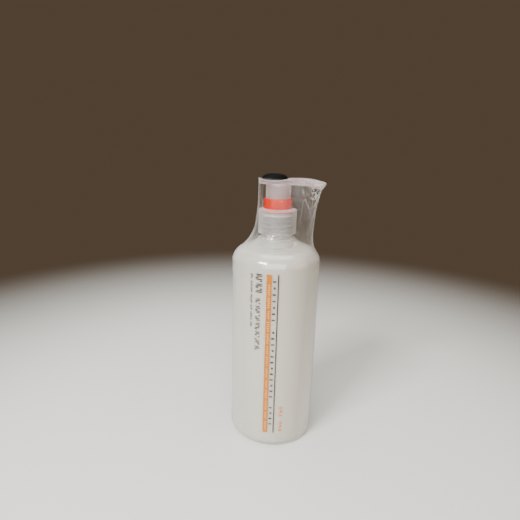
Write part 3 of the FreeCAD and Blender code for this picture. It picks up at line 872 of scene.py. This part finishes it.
def make_wrap():
    """Film drawn tight over the body, two skins a film's thickness apart.

    It lies on the side up to where the tent over the pump begins, curls in under the base corner,
    and gathers in small pleats where it was tucked at the hem.
    """
    hem = foot_of("film_wrap")
    clear = 0.14
    corner = math.asin((BASE_CORNER_R - hem) / (BASE_CORNER_R + clear))
    base = np.linspace(-corner, 0, 22)
    side = np.linspace(BASE_CORNER_R, HOOD_FOOT - 0.05, 90)[1:]
    radius = BODY_R - BASE_CORNER_R + (BASE_CORNER_R + clear) * np.cos(base)
    radius = np.concatenate([radius, np.full(len(side), BODY_R + clear)])
    height = np.concatenate([BASE_CORNER_R + (BASE_CORNER_R + clear) * np.sin(base), side])
    normal = np.stack([np.gradient(height), -np.gradient(radius)], 1)
    normal /= np.linalg.norm(normal, axis=1, keepdims=True)
    path = np.stack([radius, height], 1)
    angle = np.linspace(0, TURN, 320, endpoint=False)[None, :]
    z = height[:, None]
    near_hem = 1 - smooth_step(z, 3, 26)
    pleats = np.abs(np.sin(11 * angle + 0.05 * z + np.sin(3 * angle) * 2.0)) ** 6
    puff = 0.14 * near_hem * pleats + 0.03 * np.sin(5 * angle + z / 11) ** 2
    lift = np.stack([puff, puff + FILM], 0)
    skins = path[None, :, None] + normal[None, :, None] * lift[..., None]
    loop = np.concatenate([skins[1], skins[0][::-1]])
    points = np.stack([loop[..., 0] * np.cos(angle), loop[..., 0] * np.sin(angle), loop[..., 1]], -1)
    return skin("film_body", [(points, True, True)], sharp=70)


# The tent: height, reach to the rear, reach to the spout's side, half width, squareness.
TENT = np.array(
    [
        (138.0, 33.42, 33.42, 33.42, 2.0),
        (141.5, 33.42, 33.42, 33.42, 2.0),
        (145.5, 32.75, 32.8, 32.75, 2.0),
        (149.5, 30.6, 30.75, 30.6, 2.0),
        (154.0, 25.6, 28.2, 25.7, 2.0),
        (158.5, 21.6, 27.1, 21.4, 2.0),
        (164.5, 18.3, 26.9, 17.8, 2.0),
        (172.0, 16.1, 27.2, 16.2, 2.0),
        (182.0, 15.0, 28.3, 15.2, 2.1),
        (190.0, 14.6, 29.8, 13.0, 2.2),
        (196.0, 14.5, 31.5, 11.0, 2.6),
        (200.3, 14.5, 34.2, 10.0, 3.2),
        (202.0, 14.55, 31.2, 9.6, 3.2),
        (203.7, 14.5, 22.8, 9.3, 2.8),
        (205.3, 12.9, 9.8, 8.0, 2.3),
        (207.2, 9.4, 4.4, 4.6, 2.0),
    ]
)


def make_hood():
    """Film tent: superellipses whose reach and width change with height, closed over the pad.

    Folds are raised on it as ridges of a few tenths of a millimetre: long pleats that run up the
    neck, sharp creases that fan out under the spout's tip, a welded seam up the front, and small
    crumples. The outer skin comes back inside it a film's thickness away.
    """
    rows = 150
    t = np.linspace(0, len(TENT) - 1, rows)
    table = [through(t, list(enumerate(TENT[:, k]))) for k in range(5)]
    z, rear, front, wide, square = (column[:, None] for column in table)
    angle = np.linspace(0, TURN, 360, endpoint=False)[None, :]
    c, s = np.cos(angle), np.sin(angle)
    x = (front - rear) / 2 + (front + rear) / 2 * np.sign(c) * np.abs(c) ** (2 / square)
    y = wide * np.sign(s) * np.abs(s) ** (2 / square)
    up = smooth_step(z, 146, 166)
    below_head = 1 - smooth_step(z, 196, 203)
    drift = 0.02 * (z - 150)
    pleats = np.abs(np.sin(4.5 * angle + drift + 0.4 * np.sin(z / 9))) ** 9
    pleats = pleats * (0.35 + 0.65 * np.abs(np.cos(angle)))
    under_tip = np.exp(-((np.minimum(angle, TURN - angle) / 0.75) ** 2))
    fan = np.abs(np.sin(9 * np.sin(angle) * (z - 150) / 30 + z / 3.1 + np.sin(z / 2.3))) ** 5
    crumple = np.sin(z * 1.1 + 5 * angle) * np.sin(z * 0.7 - 8 * angle + 1.3)
    seam = np.exp(-(((angle - SEAM_ANGLE) / 0.018) ** 2))
    creases = 0.75 * under_tip * fan * smooth_step(z, 168, 186)
    depth = up * (below_head * (0.45 * pleats + creases - 0.22 * seam) + 0.14 * crumple)
    shrink_by = np.maximum(depth, -0.25) / np.maximum(np.hypot(x, y), 8)
    outer = np.stack([x * (1 - shrink_by), y * (1 - shrink_by), z + 0 * x], -1)
    centre = np.stack([0.5 * (front - rear) + 0 * angle, 0 * x, z + 0 * x], -1)
    inward = centre - outer
    inward /= np.maximum(np.linalg.norm(inward, axis=-1, keepdims=True), 1e-6)
    inner = outer + inward * FILM - np.array([0, 0, FILM]) * smooth_step(z, 198, 204)[..., None]
    pole = centre[-1:] * np.ones_like(outer[:1])
    points = np.concatenate([pole, outer[::-1], inner, pole - np.array([0, 0, FILM])])
    return skin("film_tent", [(points, False, True)], sharp=70)


# ---------------------------------------------------------------- print on the body

INK_LIFT = 0.01
INK = 0.045


def ink_patch(middle_angle, middle_z, width, height, corner, lift=INK_LIFT):
    """A thin patch of ink on the round side: a superellipse of the given size, wrapped onto the wall.

    A unit disc of rings and spokes is stretched to the patch, its width measured along the
    surface, and a raised face and a back face are joined at the rim.
    """
    power = 2 / corner
    ring = np.array([0.0, 0.5, 1.0])[:, None]
    spoke = (np.arange(20) + 0.5)[None, :] * TURN / 20
    c, s = np.cos(spoke), np.sin(spoke)
    along = ring * np.sign(c) * np.abs(c) ** power * width / 2
    up = ring * np.sign(s) * np.abs(s) ** power * height / 2
    around = np.radians(middle_angle) + along / BODY_R
    heading = np.stack([np.cos(around), np.sin(around), 0 * around], -1)
    height = np.stack([0 * up, 0 * up, middle_z + up], -1)
    face = heading * (BODY_R + lift + INK) + height
    back = heading * (BODY_R + lift - 0.03) + height
    return np.concatenate([face, back[::-1]]), False, True


def ink_band(middle_angle, low, high, width, lift=INK_LIFT):
    """A long straight band of ink: a flat tube wrapped onto the wall, closed at both ends."""
    z = np.linspace(low, high, 40)
    z = np.concatenate([[z[0]], z, [z[-1]]])[:, None]
    half = width / 2
    sides = np.array([-half, -half / 2, 0, half / 2, half, half, 0, -half])[None, :]
    outward = np.array([1, 1, 1, 1, 1, 0, 0, 0])[None, :]
    radius = BODY_R + lift - 0.03 + (INK + 0.03) * outward + 0 * z
    radius[[0, -1]] = BODY_R + lift - 0.03
    around = np.radians(middle_angle) + sides / BODY_R + 0 * z
    around[[0, -1]] = np.radians(middle_angle)
    return np.stack([radius * np.cos(around), radius * np.sin(around), z + 0 * sides], -1), False, True


def ink_column(middle_angle, top, pitch, pattern, sizes, lift=INK_LIFT):
    """Patches down a column, one for each sign of the pattern; a space leaves a gap.

    sizes gives each sign's width, height and sidestep, in millimetres.
    """
    patches = []
    for place, sign in enumerate(pattern):
        if sign != " ":
            width, height, sidestep = sizes[sign]
            angle = middle_angle + math.degrees(sidestep / BODY_R)
            patches.append(ink_patch(angle, top - pitch * (place + 0.5), width, height, 3.0, lift))
    return patches


STRIPE_ANGLE = -99.6
STRIPE_WIDTH = 3.75
PRINT_TOP = 141.0
PRINT_FOOT = 13.4


def make_print():
    """The print: an orange stripe with pale ticks, a brown rule and columns of dashes and dots."""
    stripe = skin("print_stripe", [ink_band(STRIPE_ANGLE, PRINT_FOOT, PRINT_TOP, STRIPE_WIDTH)])
    rule = skin("print_rule", [ink_band(-88.5, PRINT_FOOT, PRINT_TOP, 0.9)])
    tick = {"a": (1.5, 0.5, -0.1), "b": (0.9, 0.8, 0.25), "c": (1.8, 0.45, 0.0)}
    ticks = ink_column(STRIPE_ANGLE, 134.0, 1.62, "abcab acbca bacb " * 4 + "abcab", tick, INK)
    pale = skin("print_ticks", ticks)
    dash = {"a": (2.4, 1.2, 0.0), "b": (1.5, 1.9, 0.2), "c": (2.4, 1.5, 0.0)}
    column = ink_column(-93.1, 138.4, 4.78, "abcabca bcabacbcabca abca", dash)
    large = {"a": (5.4, 0.8, 0.0), "b": (2.4, 1.0, -1.4), "c": (4.8, 0.75, 0.4), "d": (1.8, 1.0, 1.7)}
    column += ink_column(-112.6, 141.0, 1.18, "acbad cabdca", large)
    middling = {
        "a": (3.8, 0.75, -0.4),
        "b": (1.9, 0.95, -1.4),
        "c": (3.2, 0.7, 0.2),
        "d": (1.5, 0.95, 1.0),
    }
    column += ink_column(-112.9, 123.0, 1.16, "cabd acbac dbac cadab acbd bcad acb", middling)
    small = {"a": (1.9, 0.75, 0.0), "b": (1.3, 1.1, 0.2), "c": (1.6, 0.65, -0.1)}
    column += ink_column(-122.6, 140.4, 1.3, "abc acbcabc bacab acb cabca cba", small)
    dark = skin("print_dashes", column)
    mark = {"a": (2.9, 1.3, 0.0), "b": (2.0, 2.1, 0.3)}
    orange = skin("print_marks", ink_column(-79.3, 36.8, 3.3, "aba bba", mark))
    return stripe, rule, pale, dark, orange


# ---------------------------------------------------------------- putting the bottle together


def assemble():
    clear_head = moulded_polypropylene("natural_polypropylene_head", "#EEE0DE", "#F6E9E7", 0.68, 0.3)
    clear_cap = moulded_polypropylene("natural_polypropylene_cap", "#F3F1F0", "#FAF8F7", 0.8, 0.28)
    works = moulded_polypropylene("natural_polypropylene_works", "#E4E4E2", "#F0F0EE", 0.3, 0.36)
    soft = moulded_polypropylene("low_density_polyethylene", "#EDEDEB", "#F5F5F3", 0.2, 0.45)
    tight_film = shrink_film_clear("clear_shrink_film_tight", (0.0, 0.001), (0.006, 0.02), 0.1, 0.02)
    loose_film = shrink_film_clear("clear_shrink_film_loose", (0.139, 0.156), (0.210, 0.211), 0.4, 0.03)
    finish_piece(make_bottle(), blown_bottle_plastic(), "bottle", "bottle_plastic", "bottle")
    finish_piece(make_cream(), oil_emulsion(), "bottle", "cream", "cream_fill")
    finish_piece(make_wrap(), tight_film, "bottle", "shrink_film", "film_wrap")
    hood = finish_piece(make_hood(), loose_film, "actuator", "shrink_film", "film_hood")
    finish_piece(make_closure(), clear_cap, "closure", "closure_plastic", "closure")
    finish_piece(make_collar(), orange_polypropylene(), "pump_unit", "orange_plastic", "collar_ring")
    finish_piece(make_head(), clear_head, "actuator", "head_plastic", "actuator_head")
    finish_piece(make_pad(), soft_black_elastomer(), "actuator", "black_rubber", "thumb_pad")

    low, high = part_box("return_spring")
    spring = coil("spring_coil", 4.3, 0.43, low.z / MM, high.z / MM, 6)
    finish_piece(spring, spring_steel(), "plunger", "spring_steel", "return_spring")
    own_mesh(spring)
    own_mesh(hood)

    for node, material in {
        "pump_housing": works,
        "dip_tube": works,
        "stem": works,
        "piston_rod": works,
        "piston": soft,
        "check_ball": spring_steel(),
        "neck_gasket": foam_gasket(),
    }.items():
        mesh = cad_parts[node].data
        mesh.materials.clear()
        mesh.materials.append(material)

    orange_ink = screen_ink("orange_screen_ink", "#BE6E00", "#C47600")
    pale_ink = screen_ink("pale_orange_screen_ink", "#EEB870", "#F2C07C")
    brown_ink = screen_ink("brown_screen_ink", "#3A2A28", "#4A3A36")
    light_ink = screen_ink("light_orange_screen_ink", "#E07A2C", "#E88C48")
    for piece, ink in zip(make_print(), (orange_ink, brown_ink, pale_ink, brown_ink, light_ink)):
        finish_piece(piece, ink, "bottle", "bottle_plastic")


# ---------------------------------------------------------------- room, lights and camera

FLOOR_COLOUR = "#E6E7E3"
ROOM_COLOUR = "#544638"
FLOOR_EDGE = (0.17, 0.6)
FLOOR_R = 1.2


def make_floor():
    """Wide flat disc under the bottle."""
    ring = np.array([0.0, 0.3, 0.7, FLOOR_R])[:, None] / MM
    angle = np.linspace(0, TURN, 64, endpoint=False)[None, :]
    points = np.stack([ring * np.cos(angle), ring * np.sin(angle), 0 * ring * angle], -1)
    floor = skin("floor", [(points, False, True)])
    if floor.data.polygons[0].normal.z < 0:
        floor.data.flip_normals()
    floor.data.materials.append(studio_floor())


def soft_box(name, place, target, size, watts, tint):
    """Square soft light at a place, aimed at a target; both in metres."""
    lamp = bpy.data.lights.new(name, "AREA")
    lamp.shape = "RECTANGLE"
    lamp.size, lamp.size_y = size
    lamp.energy = watts
    lamp.color = colour(tint)[:3]
    holder = bpy.data.objects.new(name, lamp)
    bpy.context.scene.collection.objects.link(holder)
    holder.location = place
    holder.rotation_mode = "QUATERNION"
    aim = np.array(target) - np.array(place)
    holder.rotation_quaternion = Vector(aim).to_track_quat("-Z", "Y")


def light_room():
    world = bpy.data.worlds.new("room")
    world.use_nodes = True
    sky = world.node_tree.nodes["Background"]
    sky.inputs["Color"].default_value = colour(ROOM_COLOUR)
    sky.inputs["Strength"].default_value = 1.0
    bpy.context.scene.world = world
    soft_box("key_softbox", (-0.5, -0.55, 0.75), (0, 0, 0.1), (0.30, 0.13), 13.0, "#FFFDFA")
    soft_box("front_softbox", (-0.15, -1.3, 0.75), (0, 0, 0.1), (1.5, 0.9), 25.0, "#FFFFFF")
    soft_box("overhead_softbox", (0.0, 0.1, 1.0), (0, 0, 0.08), (0.7, 0.5), 6.0, "#FFFFFF")
    soft_box("fill_softbox", (0.8, -0.4, 0.4), (0, 0, 0.1), (0.6, 0.6), 2.0, "#FFDDB4")


def set_camera():
    """Hand-held view from a little above the pump, looking down at the bottle."""
    camera = bpy.data.cameras.new("camera")
    camera.lens = 27.0
    camera.sensor_width = 36.0
    camera.dof.use_dof = False
    camera.clip_start = 0.01
    holder = bpy.data.objects.new("camera", camera)
    bpy.context.scene.collection.objects.link(holder)
    holder.location = (-0.0122, -0.286, 0.2232)
    pitch = math.radians(90 - 15.83)
    roll = math.radians(1.35)
    holder.rotation_mode = "QUATERNION"
    tilt = Matrix.Rotation(pitch, 4, "X") @ Matrix.Rotation(roll, 4, "Z")
    holder.rotation_quaternion = tilt.to_quaternion()
    bpy.context.scene.camera = holder


set_camera()
light_room()
make_floor()
assemble()
